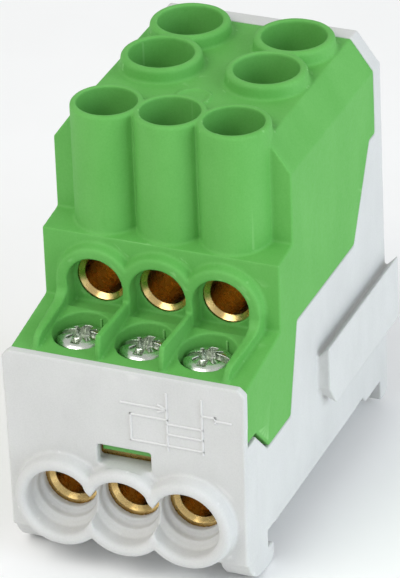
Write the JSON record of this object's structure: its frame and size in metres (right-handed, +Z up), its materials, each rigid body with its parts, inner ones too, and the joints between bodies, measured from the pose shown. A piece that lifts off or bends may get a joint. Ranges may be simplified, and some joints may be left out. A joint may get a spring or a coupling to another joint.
{
  "type": "din rail terminal block",
  "caption": "Stepped distribution terminal block for a 35 mm rail: green cover with driver tubes over a brass body in a white base with funnel entries.",
  "frame": {"origin": "middle of the flat seat that rests on the rail, midway between the rail's lips", "axes": "+X across the block along the rail, to the right seen from the front; +Y from the front plate to the back wall; +Z up, away from the rail"},
  "size_m": [0.0348, 0.0544, 0.0579],
  "materials": {
    "white_plastic": "matte",
    "green_plastic": "matte",
    "brass": "machined",
    "zinc_plated_steel": "plated"
  },
  "bodies": {
    "housing": {"base_housing": "white_plastic", "top_cover": "green_plastic", "clamp_low_1": "brass", "clamp_low_2": "brass", "clamp_low_3": "brass", "clamp_high_1": "brass", "clamp_high_2": "brass", "clamp_high_3": "brass", "clamp_rear_1": "brass", "clamp_rear_2": "brass"},
    "latch": {"rail_latch": "white_plastic"},
    "low_screw_1": {"low_screw_1": "zinc_plated_steel"},
    "low_screw_2": {"low_screw_2": "zinc_plated_steel"},
    "low_screw_3": {"low_screw_3": "zinc_plated_steel"},
    "high_screw_1": {"high_screw_1": "zinc_plated_steel"},
    "high_screw_2": {"high_screw_2": "zinc_plated_steel"},
    "high_screw_3": {"high_screw_3": "zinc_plated_steel"},
    "rear_screw_1": {"rear_screw_1": "zinc_plated_steel"},
    "rear_screw_2": {"rear_screw_2": "zinc_plated_steel"},
    "rear_screw_3": {"rear_screw_3": "zinc_plated_steel"},
    "rear_screw_4": {"rear_screw_4": "zinc_plated_steel"}
  },
  "joints": [
    {"name": "latch_flex", "type": "hinge", "parent": "housing", "child": "latch", "pos_m": [0, 0.01995, 0.009], "axis": [1, 0, 0], "range_deg": [0, 8], "stiffness_Nm_per_rad": 0.6},
    {"name": "low_screw_1_travel", "type": "slide", "parent": "housing", "child": "low_screw_1", "axis": [0, 0, -1], "range_m": [0, 0.005]},
    {"name": "low_screw_2_travel", "type": "slide", "parent": "housing", "child": "low_screw_2", "axis": [0, 0, -1], "range_m": [0, 0.005]},
    {"name": "low_screw_3_travel", "type": "slide", "parent": "housing", "child": "low_screw_3", "axis": [0, 0, -1], "range_m": [0, 0.005]},
    {"name": "high_screw_1_travel", "type": "slide", "parent": "housing", "child": "high_screw_1", "axis": [0, 0, -1], "range_m": [0, 0.0051]},
    {"name": "high_screw_2_travel", "type": "slide", "parent": "housing", "child": "high_screw_2", "axis": [0, 0, -1], "range_m": [0, 0.0051]},
    {"name": "high_screw_3_travel", "type": "slide", "parent": "housing", "child": "high_screw_3", "axis": [0, 0, -1], "range_m": [0, 0.0051]},
    {"name": "rear_screw_1_travel", "type": "slide", "parent": "housing", "child": "rear_screw_1", "axis": [0, 0, -1], "range_m": [0, 0.0079]},
    {"name": "rear_screw_2_travel", "type": "slide", "parent": "housing", "child": "rear_screw_2", "axis": [0, 0, -1], "range_m": [0, 0.0079]},
    {"name": "rear_screw_3_travel", "type": "slide", "parent": "housing", "child": "rear_screw_3", "axis": [0, 0, -1], "range_m": [0, 0.0079]},
    {"name": "rear_screw_4_travel", "type": "slide", "parent": "housing", "child": "rear_screw_4", "axis": [0, 0, -1], "range_m": [0, 0.0079]}
  ]
}
